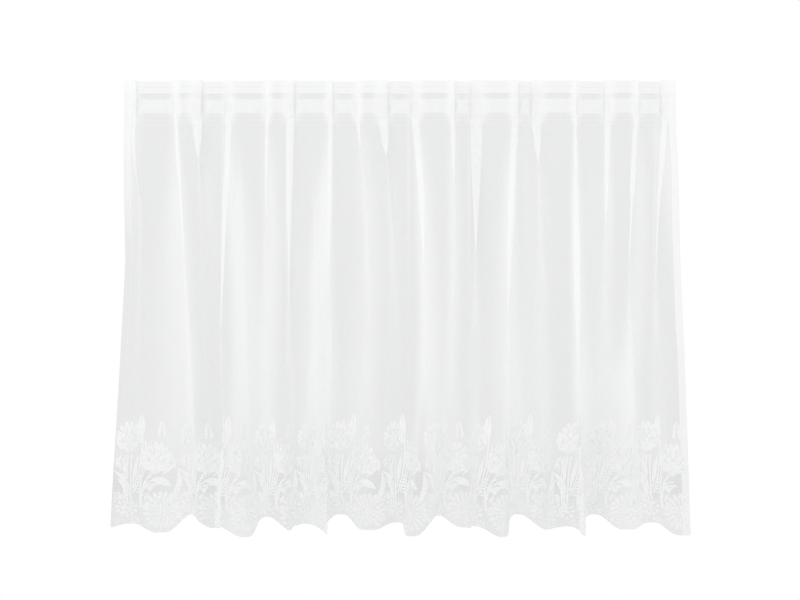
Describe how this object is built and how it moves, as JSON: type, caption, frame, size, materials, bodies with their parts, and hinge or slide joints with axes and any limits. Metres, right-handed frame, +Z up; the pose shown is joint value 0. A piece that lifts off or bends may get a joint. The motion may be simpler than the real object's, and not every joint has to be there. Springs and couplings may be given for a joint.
{
  "type": "lace curtain",
  "caption": "Short sheer curtain with a pleated heading, soft folds and a scalloped floral lace edge, for hanging at a window.",
  "frame": {"origin": "middle of the top edge, in the plane about which the folds of the heading lie", "axes": "+X along the top edge to the right as seen from the room, +Y away from the room towards the window, +Z up"},
  "size_m": [1.1439, 0.073, 0.896],
  "materials": {
    "lace_voile": "sheer white polyester voile with a woven floral lace border, matt with a faint sheen",
    "tape": "dense white woven gathering tape, matt"
  },
  "bodies": {
    "root": {"curtain_panel": "lace_voile", "heading_tape": "tape"}
  },
  "joints": []
}
